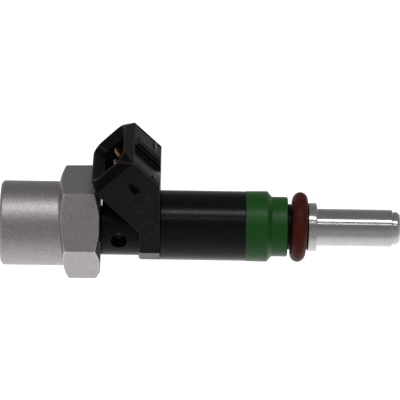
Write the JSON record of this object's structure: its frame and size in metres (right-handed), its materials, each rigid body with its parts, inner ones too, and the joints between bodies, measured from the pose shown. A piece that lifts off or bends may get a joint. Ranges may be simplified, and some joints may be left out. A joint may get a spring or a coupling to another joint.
{
  "type": "fuel injector",
  "caption": "Long port fuel injector: hexagonal inlet adapter, black plastic body with an angled two-blade connector, green sleeve, brown O-ring and steel nozzle tube.",
  "frame": {"origin": "bottom centre of the bounding box: on the plane of the adapter's lower hex flat, at mid-length, on the injector's plane of symmetry. The injector's axis is 10.5 mm above it.", "axes": "+X along the injector from the inlet adapter to the nozzle tip, +Z towards the electrical connector, +Y across it, away from a viewer who has the inlet on the left and the connector on top"},
  "size_m": [0.0854, 0.0242, 0.0315],
  "materials": {
    "blasted_steel": "fine bead-blasted, matte grey",
    "seal_rubber": "matte",
    "ptfe": "waxy",
    "clip_steel": "black oxide",
    "tube_steel": "fine turned, satin",
    "brass": "turned",
    "filter_mesh": "woven, fine",
    "magnetic_steel": "satin",
    "ground_steel": "ground",
    "spring_steel": "drawn wire",
    "bobbin_plastic": "moulded",
    "copper_wire": "enamelled",
    "terminal_bronze": "pressed strip, slightly tarnished",
    "black_plastic": "moulded, satin",
    "green_plastic": "moulded, satin",
    "brown_seal": "smooth moulded",
    "collar_steel": "turned, satin"
  },
  "bodies": {
    "injector_body": {"adapter_o_ring": "seal_rubber", "backup_ring": "ptfe", "retaining_clip": "clip_steel", "inlet_tube": "tube_steel", "filter_frame": "brass", "filter_screen": "filter_mesh", "connector_overmould": "black_plastic", "terminal_near": "terminal_bronze", "terminal_far": "terminal_bronze", "body_overmould": "black_plastic", "coil_bobbin": "bobbin_plastic", "coil_winding": "copper_wire", "coil_housing": "magnetic_steel", "flux_washer": "magnetic_steel", "pole_core": "magnetic_steel", "calibration_tube": "brass", "return_spring": "spring_steel", "valve_shell": "tube_steel", "needle_guide": "ground_steel", "valve_seat": "ground_steel", "orifice_plate": "ground_steel", "green_sleeve": "green_plastic", "o_ring_carrier": "black_plastic", "nozzle_o_ring": "brown_seal", "nozzle_collar": "collar_steel", "nozzle_tube": "tube_steel"},
    "adapter": {"inlet_adapter": "blasted_steel"},
    "valve_needle": {"armature": "magnetic_steel", "needle_tube": "ground_steel", "valve_ball": "ground_steel"}
  },
  "joints": [
    {"name": "adapter_swivel", "type": "hinge", "parent": "injector_body", "child": "adapter", "pos_m": [0, 0, 0.0105], "axis": [1, 0, 0], "continuous": true},
    {"name": "valve_lift", "type": "slide", "parent": "injector_body", "child": "valve_needle", "axis": [-1, 0, 0], "range_m": [0, 0.0001], "stiffness_N_per_m": 200, "springref_m": -0.0005}
  ]
}
